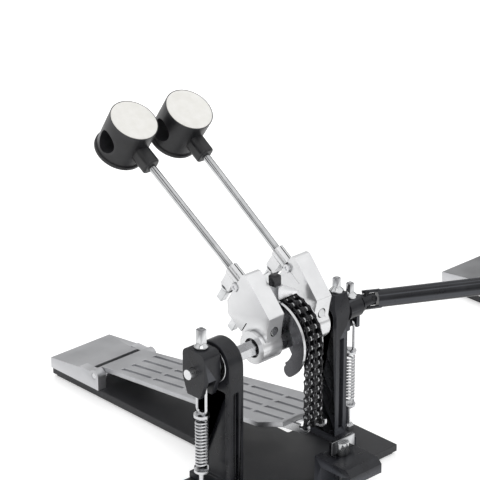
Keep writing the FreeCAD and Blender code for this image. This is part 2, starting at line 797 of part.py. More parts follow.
# Tensioner: a cup on a threaded bar with a nut, standing on the base plate
def tensioner(x_middle, top):
    cup = Part.makeCylinder(cap_radius, cap_thickness, Vec(x_middle, 0, top - cap_thickness))
    bar = Part.makeCylinder(tensioner_radius, top - plate_top, Vec(x_middle, 0, plate_top))
    nut = hex_bar((0, tensioner_nut_height), 2 * tensioner_nut)
    nut = placed(nut, Vec(x_middle, 0, plate_top), FreeCAD.Rotation(axis_y, -quarter_turn))
    return fuse([cup, bar, nut])


# Base plate: a cross plate under the uprights and a tongue back to the heel
def base_plate(x, middle, y=0):
    z = (pad_thickness, plate_top)
    cross = block(x, (front_plate_front, front_plate_back), z)
    tongue_x = (middle - tongue_half, middle + tongue_half)
    tongue = block(tongue_x, (front_plate_back - pad_inset, tongue_back), z)
    plate = fuse([cross, tongue])
    pad_x = (x[0] + pad_inset, x[1] - pad_inset)
    pad_y = (front_plate_front + pad_inset, front_plate_back - pad_inset)
    pad = block(pad_x, pad_y, (0, pad_thickness))
    strip_x = (tongue_x[0] + pad_inset, tongue_x[1] - pad_inset)
    strip_y = (pad_y[1] - pad_inset, tongue_back - pad_inset)
    pad = fuse([pad, block(strip_x, strip_y, (0, pad_thickness))])
    return placed(plate, Vec(0, y, 0)), placed(pad, Vec(0, y, 0))


# Heel plate: a sloped rest with a lug at each side for the hinge pin
def heel_plate(middle, y=0):
    x = (middle - heel_half, middle + heel_half)
    points = [(heel_front, plate_top), (heel_front, heel_top),
              (tongue_back, heel_lip), (tongue_back, plate_top)]
    rest = prism_x(x, points)
    lug_y = (heel_distance - knuckle_radius, heel_front + heel_lug)
    pieces = [rest]
    for low in (x[0], x[1] - heel_lug):
        lug_x = (low, low + heel_lug)
        pieces.append(block(lug_x, (heel_distance, lug_y[1]), (plate_top, heel_top)))
        pieces.append(block(lug_x, lug_y, (plate_top, heel_height)))
        pieces.append(bar_x(lug_x, knuckle_radius, heel_distance, heel_height))
    body = fuse(pieces)
    body = body.cut(bar_x(x, heel_pin_radius + seat_gap, heel_distance, heel_height))
    pin = bar_x((x[0] + free_gap, x[1] - free_gap), heel_pin_radius, heel_distance, heel_height)
    return placed(body, Vec(0, y, 0)), placed(pin, Vec(0, y, 0))


# Where the footboard's toe pin is, seen from the heel hinge
toe_pin = chain_pin(-drop_links) + shaft_lift
toe_reach = math.hypot(heel_distance - toe_pin.y, toe_pin.z - heel_height)
board_slope = math.degrees(math.asin((toe_pin.z - heel_height) / toe_reach))


def board_placed(shape, middle, y):
    hinge = Vec(middle, heel_distance + y, heel_height)
    return placed(shape, hinge, FreeCAD.Rotation(axis_x, -board_slope))


# Footboard, drawn flat from the hinge towards minus Y, with rows of slots and side ribs
def footboard(middle, y=0):
    z = (board_low, board_low + board_thickness)
    toe = board_toe_gap - toe_reach
    lug_end = -2 * knuckle_radius
    corner = toe + board_toe_half / 2
    toe_half = board_toe_half - board_toe_gap
    outline = [(-knuckle_half, 0), (knuckle_half, 0), (knuckle_half, lug_end), (board_toe_half, corner),
               (toe_half, toe), (-toe_half, toe), (-board_toe_half, corner), (-knuckle_half, lug_end)]
    wire = Part.makePolygon([Vec(a, b, z[0]) for a, b in outline + outline[:1]])
    board = Part.Face(wire).extrude(axis_z * board_thickness)
    knuckle = bar_x((-knuckle_half, knuckle_half), knuckle_radius)
    board = fuse([board, knuckle])
    pitch_y = board_slot_length * board_slot_pitch_share
    for row in range(board_slot_rows):
        for column in range(board_slot_columns):
            centre = (column - (board_slot_columns - 1) / 2) * board_slot_spread
            slot_top = -pitch_y * (row + board_slot_start_share)
            slot_y = (slot_top - board_slot_length, slot_top)
            slot_x = (centre - board_slot_width / 2, centre + board_slot_width / 2)
            board = board.cut(block(slot_x, slot_y, (z[1] - board_rib, z[1])))
    board = board.cut(bar_x((-board_toe_half, board_toe_half), heel_pin_radius + run_gap))
    return board_placed(board, middle, y)


# Toe clevis: two cheeks under the board whose slots hold the chain's last pin
def toe_clevis(middle, y=0):
    cheek_in = outer_plate_x + outer_plate + free_gap
    cheek_out = cheek_in + clevis_plate
    back = clevis_length - toe_reach
    end = -toe_reach
    z = (-clevis_half_height, board_low)
    pieces = []
    for x in ((-cheek_out, -cheek_in), (cheek_in, cheek_out)):
        pieces.append(block(x, (end, back), z))
        pieces.append(bar_x(x, clevis_half_height, end, 0))
    bridge_y = (end + board_toe_gap, back)
    pieces.append(block((-cheek_out, cheek_out), bridge_y, (board_low - clevis_plate, board_low)))
    body = fuse(pieces)
    half = pin_radius + clevis_slot_rise
    whole = (-cheek_out, cheek_out)
    reach = clevis_slot_half
    slot = fuse([bar_x(whole, half, end - reach, 0), bar_x(whole, half, end + reach, 0),
                 block(whole, (end - reach, end + reach), (-half, half))])
    top_cut = block(whole, (end - clevis_length, end + board_toe_gap), (board_low, clevis_length))
    return board_placed(body.cut(top_cut).cut(slot), middle, y)


# Fork of a universal joint, its hub towards plus X and its ears on plus and minus Y
def fork(bore, hub_length=fork_hub_length):
    hub_x = (fork_hub_start, fork_hub_start + hub_length)
    ear_out = ear_inner + ear_thickness
    pieces = [bar_x(hub_x, fork_hub_radius)]
    bridge_x = (fork_hub_start, fork_hub_start + ear_thickness)
    pieces.append(block(bridge_x, (-ear_out, ear_out), (-ear_half_width, ear_half_width)))
    for low, high in ((-ear_out, -ear_inner), (ear_inner, ear_out)):
        pieces.append(block((0, bridge_x[1]), (low, high), (-ear_half_width, ear_half_width)))
        pieces.append(round_bar(Vec(0, low, 0), Vec(0, high, 0), ear_half_width))
    body = fuse(pieces)
    body = body.common(bar_x((-ear_half_width, hub_x[1]), ear_out))
    body = body.cut(round_bar(axis_y * -ear_out, axis_y * ear_out, cross_pin_radius + cross_gap))
    if bore:
        body = body.cut(bar_x(hub_x, bore + seat_gap))
    return body


def fork_turned(shape, centre, hub_way, ear_way):
    side = hub_way.cross(ear_way)
    return placed(shape, centre, FreeCAD.Rotation(hub_way, ear_way, side, "XYZ"))


def cross_piece(centre):
    ear_out = ear_inner + ear_thickness
    half = cross_block
    body = fuse([block((-half, half), (-half, half), (-half, half)),
                 round_bar(axis_y * -ear_out, axis_y * ear_out, cross_pin_radius),
                 round_bar(axis_z * -ear_out, axis_z * ear_out, cross_pin_radius)])
    normal = cross_first.cross(cross_second)
    return placed(body, centre, FreeCAD.Rotation(normal, cross_first, cross_second, "XYZ"))


# Hoop clamp: the lower lip is on the base, the jaw slides up on its screw
def hoop_jaw():
    x = (-jaw_half, jaw_half)
    top = jaw_low + jaw_thickness
    points = [(lip_front, jaw_low - jaw_nose), (lip_front, top - jaw_nose), (lip_front + jaw_nose, top),
              (jaw_back, top), (jaw_back, plate_top + free_gap), (jaw_back - jaw_leg, plate_top + free_gap),
              (jaw_back - jaw_leg, jaw_low), (lip_front + jaw_nose * 2, jaw_low),
              (lip_front + jaw_nose, jaw_low - jaw_nose)]
    jaw = prism_x(x, points)
    hole = round_bar(Vec(0, hoop_screw_y, 0), Vec(0, hoop_screw_y, top * 2), hoop_screw_radius + run_gap)
    return jaw.cut(hole)


def hoop_screw():
    top = jaw_low + jaw_thickness
    at = Vec(0, hoop_screw_y, 0)
    bar = round_bar(at + axis_z * (plate_top + free_gap), at + axis_z * top, hoop_screw_radius)
    hub = round_bar(at + axis_z * top, at + axis_z * (top + wing_height), wing_hub_radius)
    wing_y = (hoop_screw_y - wing_thickness / 2, hoop_screw_y + wing_thickness / 2)
    wing_low = top + wing_thickness
    wing = block((-wing_half, wing_half), wing_y, (wing_low, wing_low + wing_height))
    return fuse([bar, hub, wing])


# Main frame
plate_x = (main_plate_right, main_plate_left)
main_plate, main_pad = base_plate(plate_x, 0)
lip = block((-lip_half, lip_half), (lip_front, front_plate_front + pad_inset), (pad_thickness, plate_top))
save("main_base_plate", fuse([main_plate, lip]))
second_span = (second_x - second_plate_half, second_x + second_plate_half)
second_plate, second_pad = base_plate(second_span, second_x, second_y)
save("second_base_plate", second_plate)
save("grip_pads", Part.Compound([main_pad, second_pad]))
main_heel, main_pin = heel_plate(0)
second_heel, second_pin = heel_plate(second_x, second_y)
save("heel_plates", Part.Compound([main_heel, second_heel]))
save("heel_pins", Part.Compound([main_pin, second_pin]))

save("right_upright", round_upright(right_upright_x, right_upright_thickness, right_head_radius,
                                    right_post_half_depth, right_bearing_radius))
left_post, left_seat = left_upright()
save("left_upright", left_post)
save("left_upright_bolt", key_bolt(left_seat, axis_z, left_key_flats, left_key_height))

# The second unit's two uprights
far_upright_x = second_x + second_inner_half
near_upright_x = second_x - second_inner_half - second_upright_thickness
second_uprights = [round_upright(x, second_upright_thickness, second_head_radius, second_post_half_depth,
                                 second_bearing_radius, second_y) for x in (near_upright_x, far_upright_x)]
save("second_uprights", Part.Compound(second_uprights))
left_bearing_x = left_upright_x - bearing_width / 2
bearings = [bearing(right_upright_x, right_bearing_radius, shaft_journal_radius),
            bearing(left_bearing_x, left_bearing_radius, shaft_journal_radius)]
bearings += [bearing(x, second_bearing_radius, shaft_journal_radius, second_y)
             for x in (near_upright_x, far_upright_x)]
save("bearings", Part.Compound(bearings))


# Round headed screws through the upright's feet
def foot_screws(x_middle, half_depth, y=0):
    reach = half_depth + foot_margin / 2 + screw_radius
    low = plate_top + foot_height
    seats = [Vec(x_middle, y + side * reach, low) for side in (-1, 1)]
    return [Part.makeCylinder(screw_radius, screw_head_height, seat) for seat in seats]


screws = foot_screws(right_upright_x + right_upright_thickness / 2, right_post_half_depth)
screws += foot_screws(left_upright_x, left_post_half_depth + screw_radius)
for upright_x in (near_upright_x, far_upright_x):
    screws += foot_screws(upright_x + second_upright_thickness / 2, second_post_half_depth, second_y)
save("base_screws", Part.Compound(screws))

# Springs, their stirrups and tensioners
right_stirrup, spring_top = stirrup(spring_x_right)
left_stirrup, spring_top = stirrup(spring_x_left)
save("right_stirrup", right_stirrup)
save("left_stirrup", left_stirrup)
cup_top = plate_top + tensioner_rise
save("right_spring", spring(spring_x_right, cup_top, spring_top))
save("left_spring", spring(spring_x_left, cup_top, spring_top))
save("spring_tensioners", Part.Compound([tensioner(x, cup_top) for x in (spring_x_right, spring_x_left)]))

# Main shaft with the right rocker, the cam and the right beater
rocker, rocker_bolt = right_rocker()
save("right_rocker", rocker)
cam_shape, lining, cam_bolts = cam()
cam_end = cam_rim_x + cam_rim_thickness
journal_start = right_upright_x - free_gap
hex_start = right_upright_x + right_upright_thickness
main_shaft = fuse([bar_x((shaft_tip_x, journal_start), shaft_end_radius),
                   bar_x((journal_start, hex_start), shaft_journal_radius),
                   hex_bar((hex_start, cam_end), shaft_flats),
                   bar_x((cam_end, cam_end + pilot_length), pilot_radius)])
save("main_shaft", placed(main_shaft, shaft_lift))
save("main_cam", placed(cam_shape, shaft_lift))
save("main_cam_lining", placed(lining, shaft_lift))
save("main_cam_bolts", placed(Part.Compound(cam_bolts), shaft_lift))
hub, rod_clamp, hub_bolts = beater_hub(right_rod_x, right_blade_x, right_boss_x, right_lean_angle)
save("right_beater_hub", hub)
save("right_rod_clamp", rod_clamp)
save("right_clamp_bolts", Part.Compound(hub_bolts + [rocker_bolt]))
rod, shell, face = beater(right_rod_x, right_lean_angle, right_head_reach)
save("right_beater_rod", rod)
save("right_beater_shell", shell)
save("right_beater_face", face)

# Left shaft with the left beater, the left rocker and the drive fork
left_start = cam_end + free_gap
left_hex_end = left_boss_x[1]
journal_end = left_upright_x + left_head_width / 2
left_end = joint_x - fork_hub_start
left_shaft = fuse([hex_bar((left_start, left_hex_end), shaft_flats),
                   bar_x((left_hex_end, journal_end), shaft_journal_radius),
                   bar_x((journal_end, left_end), rocker_shaft_radius)])
pilot_hole = (left_start, cam_end + pilot_length + free_gap)
left_shaft = placed(left_shaft.cut(bar_x(pilot_hole, pilot_radius + run_gap)), shaft_lift)
rocker, rocker_bolt, rocker_hole = left_rocker()
save("left_shaft", left_shaft.cut(rocker_hole))
save("left_rocker", rocker)
hub, rod_clamp, hub_bolts = beater_hub(left_rod_x, left_blade_x, left_boss_x, left_lean_angle)
save("left_beater_hub", hub)
save("left_rod_clamp", rod_clamp)
save("left_clamp_bolts", Part.Compound(hub_bolts + [rocker_bolt]))
rod, shell, face = beater(left_rod_x, left_lean_angle, left_head_reach)
save("left_beater_rod", rod)
save("left_beater_shell", shell)
save("left_beater_face", face)
drive_hub = left_end - left_rocker_x - left_rocker_width - free_gap
drive_fork = fork(rocker_shaft_radius, drive_hub)
save("drive_fork", fork_turned(drive_fork, near_joint, axis_x * -1, cross_first))
save("near_drive_cross", cross_piece(near_joint))
save("far_drive_cross", cross_piece(far_joint))

# Drive shaft: an outer tube towards the main unit and a bar that slides in it
hub_end = fork_hub_start + fork_hub_length
tube_x = (hub_end - free_gap, hub_end + tube_length)
tube = fuse([fork(0), bar_x(tube_x, tube_radius)])
bar_start = hub_end + tube_length - inner_bar_overlap
tube = tube.cut(bar_x((bar_start - free_gap, tube_x[1]), inner_bar_radius + seat_gap))
tube_seat = Vec(tube_x[1] - key_flange_radius * 2, 0, tube_radius)
tube_bolt = key_bolt(tube_seat, axis_z)
tube = tube.cut(key_hole(tube_seat, axis_z))
save("drive_tube", fork_turned(tube, near_joint, drive_line, cross_second))
save("drive_tube_bolt", fork_turned(tube_bolt, near_joint, drive_line, cross_second))
bar_length = joint_spacing - bar_start - fork_hub_start
bar = fuse([fork(0), bar_x((fork_hub_start, fork_hub_start + bar_length), inner_bar_radius)])
bar = fork_turned(bar, far_joint, drive_line * -1, cross_second)
save("drive_bar", bar.cut(fork_turned(key_hole(tube_seat, axis_z), near_joint, drive_line, cross_second)))

# Second unit's shaft, cam, footboard and chain, and the main ones beside them
second_move = Vec(second_x, second_y, 0)
second_end = far_upright_x + second_upright_thickness + free_gap - second_x
second_bar = fuse([bar_x((second_shaft_start - second_x - free_gap, second_end), shaft_journal_radius),
                   hex_bar((cam_hub_x - second_hex_margin, cam_end + second_hex_margin), shaft_flats)])
second_bar = placed(second_bar, second_move + shaft_lift)
second_fork = fork_turned(fork(0), far_joint, axis_x, cross_first)
save("second_shaft", fuse([second_bar, second_fork]))
save("second_cam", placed(cam_shape, second_move + shaft_lift))
save("second_cam_lining", placed(lining, second_move + shaft_lift))
for unit, move in (("main", Vec()), ("second", second_move)):
    lifted = move + shaft_lift
    save(unit + "_chain_wrap", placed(chain_links(wrap_links, moving_links), lifted))
    for index, letter in enumerate("abc"):
        number = moving_links - index
        save(unit + "_chain_link_" + letter, placed(chain_links(number, number - 1), lifted))
    save(unit + "_chain_drop", placed(chain_links(0, -drop_links), lifted))
    save(unit + "_footboard", footboard(move.x, move.y))
    save(unit + "_toe_clevis", toe_clevis(move.x, move.y))

save("hoop_jaw", hoop_jaw())
save("hoop_screw", hoop_screw())
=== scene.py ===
import bmesh
import bpy
import json
import math
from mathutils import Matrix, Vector


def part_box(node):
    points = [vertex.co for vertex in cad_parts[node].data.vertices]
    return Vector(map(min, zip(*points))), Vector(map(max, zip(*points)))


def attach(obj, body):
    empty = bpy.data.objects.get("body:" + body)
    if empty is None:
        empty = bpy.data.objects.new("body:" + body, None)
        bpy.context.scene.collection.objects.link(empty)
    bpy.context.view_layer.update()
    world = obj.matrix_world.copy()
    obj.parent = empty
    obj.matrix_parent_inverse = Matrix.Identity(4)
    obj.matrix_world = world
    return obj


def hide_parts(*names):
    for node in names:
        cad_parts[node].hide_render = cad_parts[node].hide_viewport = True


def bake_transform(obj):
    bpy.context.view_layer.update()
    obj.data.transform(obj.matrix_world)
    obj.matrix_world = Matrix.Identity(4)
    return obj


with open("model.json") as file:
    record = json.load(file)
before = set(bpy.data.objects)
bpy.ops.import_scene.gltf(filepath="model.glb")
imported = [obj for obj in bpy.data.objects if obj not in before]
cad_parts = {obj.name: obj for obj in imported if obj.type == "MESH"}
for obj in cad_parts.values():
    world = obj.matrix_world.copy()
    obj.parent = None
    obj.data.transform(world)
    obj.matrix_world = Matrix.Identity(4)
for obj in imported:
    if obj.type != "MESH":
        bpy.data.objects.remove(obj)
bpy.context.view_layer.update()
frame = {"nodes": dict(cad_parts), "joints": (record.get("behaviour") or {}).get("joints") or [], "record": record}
record = frame["record"]
nodes = frame["nodes"]
bodyOf = {node: body for body, members in record["behaviour"]["bodies"].items() for node in members}
slotOf = {part["node"]: part["material_slot"] for part in record["subparts"]}
mm = 0.001
print("frame loaded with", len(nodes), "nodes")


# Camera at the photograph's angle
cameraView = {"azimuth": -43.5, "elevation": 23.57, "distance": 2.4924, "lens": 187.5,
              "sensor": 36.0, "farthest": 50.0, "target": (-0.00597, 0.06014, 0.23459)}


def makeCamera(view):
    turn = math.radians(view["azimuth"])
    tilt = math.radians(view["elevation"])
    back = Vector((math.sin(turn) * math.cos(tilt), -math.cos(turn) * math.cos(tilt), math.sin(tilt)))
    lensData = bpy.data.cameras.new("photoCamera")
    lensData.lens = view["lens"]
    lensData.sensor_width = view["sensor"]
    lensData.clip_end = view["farthest"]
    camera = bpy.data.objects.new("photoCamera", lensData)
    camera.location = Vector(view["target"]) + back * view["distance"]
    camera.rotation_euler = back.to_track_quat("Z", "Y").to_euler()
    bpy.context.scene.collection.objects.link(camera)
    bpy.context.scene.camera = camera


makeCamera(cameraView)
print("camera placed")


# Small helpers for node materials
def newFinish(name):
    finish = bpy.data.materials.new(name)
    finish.use_nodes = True
    return finish, finish.node_tree, finish.node_tree.nodes["Principled BSDF"]


def addNoise(tree, scale, detail=4.0, stretch=(1.0, 1.0, 1.0)):
    coords = tree.nodes.new("ShaderNodeTexCoord")
    mapping = tree.nodes.new("ShaderNodeMapping")
    mapping.inputs["Scale"].default_value = stretch
    noise = tree.nodes.new("ShaderNodeTexNoise")
    noise.inputs["Scale"].default_value = scale
    noise.inputs["Detail"].default_value = detail
    tree.links.new(coords.outputs["Object"], mapping.inputs["Vector"])
    tree.links.new(mapping.outputs["Vector"], noise.inputs["Vector"])
    return noise.outputs["Fac"]


def addRamp(tree, factor, low, high, span=(0.3, 0.7)):
    ramp = tree.nodes.new("ShaderNodeValToRGB")
    ramp.color_ramp.elements[0].position = span[0]
    ramp.color_ramp.elements[1].position = span[1]
    ramp.color_ramp.elements[0].color = (*low, 1.0)
    ramp.color_ramp.elements[1].color = (*high, 1.0)
    tree.links.new(factor, ramp.inputs["Fac"])
    return ramp.outputs["Color"]


def addRange(tree, factor, low, high, span=(0.3, 0.7)):
    spread = tree.nodes.new("ShaderNodeMapRange")
    spread.inputs["From Min"].default_value = span[0]
    spread.inputs["From Max"].default_value = span[1]
    spread.inputs["To Min"].default_value = low
    spread.inputs["To Max"].default_value = high
    tree.links.new(factor, spread.inputs["Value"])
    return spread.outputs["Result"]


def addMix(tree, factor, first, second):
    mix = tree.nodes.new("ShaderNodeMix")
    mix.data_type = "RGBA"
    tree.links.new(factor, mix.inputs[0])
    tree.links.new(first, mix.inputs[6])
    tree.links.new(second, mix.inputs[7])
    return mix.outputs[2]


def addBump(tree, height, strength, depth, below=None):
    bump = tree.nodes.new("ShaderNodeBump")
    bump.inputs["Strength"].default_value = strength
    bump.inputs["Distance"].default_value = depth
    tree.links.new(height, bump.inputs["Height"])
    if below is not None:
        tree.links.new(below, bump.inputs["Normal"])
    return bump.outputs["Normal"]


# A finish: two close colours, a roughness that wanders, a fine grain, convex edges painted in the finish's edge
# colour (a painted highlight where that colour is light, a painted dark outline where it is dark) and painted
# shade in creases
def makeFinish(name, look):
    finish, tree, shader = newFinish(name)
    blotch = addNoise(tree, look["blotch"], 3.0, look.get("stretch", (1.0, 1.0, 1.0)))
    grain = addNoise(tree, look["grain"], 5.0, look.get("stretch", (1.0, 1.0, 1.0)))
    colour = addRamp(tree, blotch, *look["colours"])
    # Painted light on edges: where pointiness is high the colour moves to the edge colour, a painted highlight
    # when that is light and a painted dark outline when it is dark
    if "edge" in look:
        shape = tree.nodes.new("ShaderNodeNewGeometry")
        paintedEdgeMask = addRange(tree, shape.outputs["Pointiness"], 0.0, look["edgeShare"], look["edgeSpan"])
        paintedEdgeColour = addRamp(tree, grain, look["edge"], look["edge"])
        colour = addMix(tree, paintedEdgeMask, colour, paintedEdgeColour)
    if "side" in look:
        facing = tree.nodes.new("ShaderNodeNewGeometry")
        parts = tree.nodes.new("ShaderNodeSeparateXYZ")
        square = tree.nodes.new("ShaderNodeMath")
        square.operation = "ABSOLUTE"
        tree.links.new(facing.outputs["Normal"], parts.inputs[0])
        tree.links.new(parts.outputs["X"], square.inputs[0])
        flat = addRange(tree, square.outputs[0], 0.0, 1.0, look["sideSpan"])
        coords = tree.nodes.new("ShaderNodeTexCoord")
        height = tree.nodes.new("ShaderNodeSeparateXYZ")
        tree.links.new(coords.outputs["Object"], height.inputs[0])
        below = addRange(tree, height.outputs["Z"], 1.0, 0.0, look["sideTop"])
        dark = tree.nodes.new("ShaderNodeMath")
        dark.operation = "MULTIPLY"
        tree.links.new(flat, dark.inputs[0])
        tree.links.new(below, dark.inputs[1])
        colour = addMix(tree, dark.outputs[0], colour, addRamp(tree, blotch, *look["side"]))
    # Painted shade: ambient occlusion darkens creases, recesses and gaps between parts towards the crease colour
    if "creaseShade" in look:
        closeness = tree.nodes.new("ShaderNodeAmbientOcclusion")
        closeness.inputs["Distance"].default_value = look["creaseReach"]
        creaseShadeColour = addRamp(tree, grain, look["creaseShade"], look["creaseShade"])
        clear = addRange(tree, closeness.outputs["AO"], 0.0, 1.0, look["creaseSpan"])
        colour = addMix(tree, clear, creaseShadeColour, colour)
    tree.links.new(colour, shader.inputs["Base Color"])
    tree.links.new(addRange(tree, blotch, *look["rough"]), shader.inputs["Roughness"])
    normal = addBump(tree, grain, look["bump"], look["depth"])
    if "wave" in look:
        wave = addNoise(tree, look["wave"], 1.0)
        normal = addBump(tree, wave, look["waveBump"], look["waveDepth"], normal)
    tree.links.new(normal, shader.inputs["Normal"])
    shader.inputs["Metallic"].default_value = look["metallic"]
    shader.inputs["Specular IOR Level"].default_value = look.get("specular", 0.5)
    shader.inputs["Coat Weight"].default_value = look.get("coat", 0.0)
    shader.inputs["Coat Roughness"].default_value = look.get("coatRough", 0.2)
    return finish


# Edge colours below are painted edge highlights and painted dark edge outlines; crease colours are painted shade
finishLooks = {
    "black_cast": {"colours": ((0.007, 0.007, 0.009), (0.016, 0.017, 0.021)), "blotch": 60.0,
                   "grain": 1500.0, "rough": (0.24, 0.36), "bump": 0.22, "depth": 0.00012,
                   "metallic": 0.0, "edge": (0.10, 0.105, 0.12), "edgeShare": 0.6,
                   "edgeSpan": (0.53, 0.62), "specular": 0.36},
    "black_plate": {"colours": ((0.014, 0.014, 0.016), (0.028, 0.029, 0.032)), "blotch": 40.0,
                    "grain": 1100.0, "rough": (0.38, 0.52), "bump": 0.25, "depth": 0.00015,
                    "metallic": 0.0, "edge": (0.09, 0.09, 0.10), "edgeShare": 0.5,
                    "edgeSpan": (0.53, 0.62)},
    "black_shell": {"colours": ((0.008, 0.008, 0.009), (0.017, 0.017, 0.019)), "blotch": 90.0,
                    "grain": 2600.0, "rough": (0.30, 0.42), "bump": 0.16, "depth": 0.00008,
                    "metallic": 0.0, "edge": (0.05, 0.05, 0.055), "edgeShare": 0.5,
                    "edgeSpan": (0.54, 0.64)},
    "pale_face": {"colours": ((0.80, 0.79, 0.75), (0.86, 0.85, 0.82)), "blotch": 120.0,
                  "grain": 2200.0, "rough": (0.45, 0.6), "bump": 0.12, "depth": 0.0001,
                  "metallic": 0.0},
    "black_lining": {"colours": ((0.010, 0.010, 0.011), (0.022, 0.022, 0.024)), "blotch": 150.0,
                     "grain": 1800.0, "rough": (0.55, 0.72), "bump": 0.3, "depth": 0.0002,
                     "metallic": 0.0},
    "black_screw": {"colours": ((0.010, 0.010, 0.011), (0.026, 0.026, 0.029)), "blotch": 200.0,
                    "grain": 2400.0, "rough": (0.14, 0.24), "bump": 0.15, "depth": 0.0001,
                    "metallic": 0.3, "edge": (0.22, 0.22, 0.24), "edgeShare": 0.5,
                    "edgeSpan": (0.54, 0.64)},
    "polished_cast": {"colours": ((0.79, 0.795, 0.805), (0.88, 0.885, 0.895)), "blotch": 45.0,
                      "grain": 1300.0, "rough": (0.14, 0.27), "bump": 0.05, "depth": 0.00008,
                      "metallic": 0.7, "wave": 70.0, "waveBump": 0.10, "waveDepth": 0.0012,
                      "edge": (0.40, 0.405, 0.42), "edgeShare": 0.45, "edgeSpan": (0.53, 0.62),
                      "creaseShade": (0.06, 0.06, 0.065), "creaseReach": 0.006, "creaseSpan": (0.25, 0.8)},
    "satin_cast": {"colours": ((0.48, 0.485, 0.50), (0.60, 0.605, 0.62)), "blotch": 30.0,
                   "grain": 1900.0, "rough": (0.34, 0.46), "bump": 0.22, "depth": 0.0001,
                   "metallic": 1.0, "edge": (0.82, 0.82, 0.84), "edgeShare": 0.5,
                   "edgeSpan": (0.53, 0.62)},
    "chrome": {"colours": ((0.68, 0.69, 0.70), (0.82, 0.83, 0.84)), "blotch": 70.0,
               "grain": 900.0, "rough": (0.07, 0.16), "bump": 0.03, "depth": 0.00006,
               "metallic": 1.0, "edge": (0.12, 0.12, 0.13), "edgeShare": 0.75,
               "edgeSpan": (0.52, 0.60), "creaseShade": (0.03, 0.03, 0.035), "creaseReach": 0.009,
               "creaseSpan": (0.35, 1.0)},
    "steel": {"colours": ((0.66, 0.665, 0.68), (0.80, 0.805, 0.82)), "blotch": 55.0,
              "grain": 1500.0, "rough": (0.18, 0.3), "bump": 0.08, "depth": 0.0001,
              "metallic": 1.0, "stretch": (1.0, 1.0, 0.15)},
    "black_chain": {"colours": ((0.006, 0.006, 0.007), (0.016, 0.016, 0.018)), "blotch": 260.0,
                    "grain": 2200.0, "rough": (0.14, 0.24), "bump": 0.10, "depth": 0.0001,
                    "metallic": 0.0, "edge": (0.62, 0.62, 0.65), "edgeShare": 0.85,
                    "edgeSpan": (0.54, 0.63), "specular": 0.3},
    "cam_plate": {"colours": ((0.60, 0.605, 0.615), (0.75, 0.755, 0.765)), "blotch": 35.0,
                  "grain": 1500.0, "rough": (0.18, 0.32), "bump": 0.08, "depth": 0.00008,
                  "metallic": 1.0, "side": ((0.07, 0.07, 0.075), (0.14, 0.14, 0.15)),
                  "sideSpan": (0.8, 0.95), "sideTop": (0.1905, 0.1925),
                  "edge": (0.88, 0.88, 0.9), "edgeShare": 0.95,
                  "edgeSpan": (0.52, 0.58)},
    "rubber": {"colours": ((0.014, 0.014, 0.014), (0.03, 0.03, 0.03)), "blotch": 80.0,
               "grain": 900.0, "rough": (0.6, 0.8), "bump": 0.4, "depth": 0.0003,
               "metallic": 0.0},
}
finishes = {name: makeFinish(name, look) for name, look in finishLooks.items()}
print("finishes made:", len(finishes))


# Pieces: putting a mesh on a body, with its finish and the nodes that it stands for
def addPiece(name, mesh, slotName, body, standsFor=()):
    piece = bpy.data.objects.new(name, mesh)
    bpy.context.scene.collection.objects.link(piece)
    mesh.materials.clear()
    mesh.materials.append(finishes[slotName])
    if body:
        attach(piece, body)
    if standsFor:
        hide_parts(*standsFor)
    return piece


def finishedMesh(piece):
    bpy.context.view_layer.update()
    ready = piece.evaluated_get(bpy.context.evaluated_depsgraph_get())
    return bpy.data.meshes.new_from_object(ready)


# Rounded edges: a copy of the node's mesh, welded and given a bevel
edgeRound = {"join": 0.000002, "flat": 0.6, "sharp": 38.0, "steps": 3,
             "weight": 60, "keepFacets": ("main_cam", "second_cam"), "square": 0.9995}


def softened(node, width):
    mesh = bpy.data.meshes.new(node + "Mesh")
    shape = bmesh.new()
    shape.from_mesh(nodes[node].data)
    bmesh.ops.remove_doubles(shape, verts=shape.verts, dist=edgeRound["join"])
    if node not in edgeRound["keepFacets"]:
        bmesh.ops.dissolve_limit(shape, angle_limit=math.radians(edgeRound["flat"]),
                                 verts=shape.verts, edges=shape.edges)
    for face in shape.faces:
        face.smooth = True
    shape.to_mesh(mesh)
    shape.free()
    piece = bpy.data.objects.new(node + "Draft", mesh)
    bpy.context.scene.collection.objects.link(piece)
    bevelled(piece, width)
    done = finishedMesh(piece)
    bpy.data.objects.remove(piece)
    if node in edgeRound["keepFacets"]:
        flattenSides(done)
    return addPiece(node + "_round", done, slotOf[node], bodyOf[node], (node,))


def flattenSides(mesh):
    normals = [Vector(corner.vector) for corner in mesh.corner_normals]
    for face in mesh.polygons:
        if abs(face.normal.x) > edgeRound["square"]:
            for corner in face.loop_indices:
                normals[corner] = face.normal.copy()
    mesh.normals_split_custom_set(normals)


def bevelled(piece, width):
    bevel = piece.modifiers.new("roundEdge", "BEVEL")
    bevel.width = width
    bevel.segments = edgeRound["steps"]
    bevel.limit_method = "ANGLE"
    bevel.angle_limit = math.radians(edgeRound["sharp"])
    bevel.miter_outer = "MITER_ARC"
    bevel.harden_normals = False
    weighted = piece.modifiers.new("flatFaces", "WEIGHTED_NORMAL")
    weighted.weight = edgeRound["weight"]


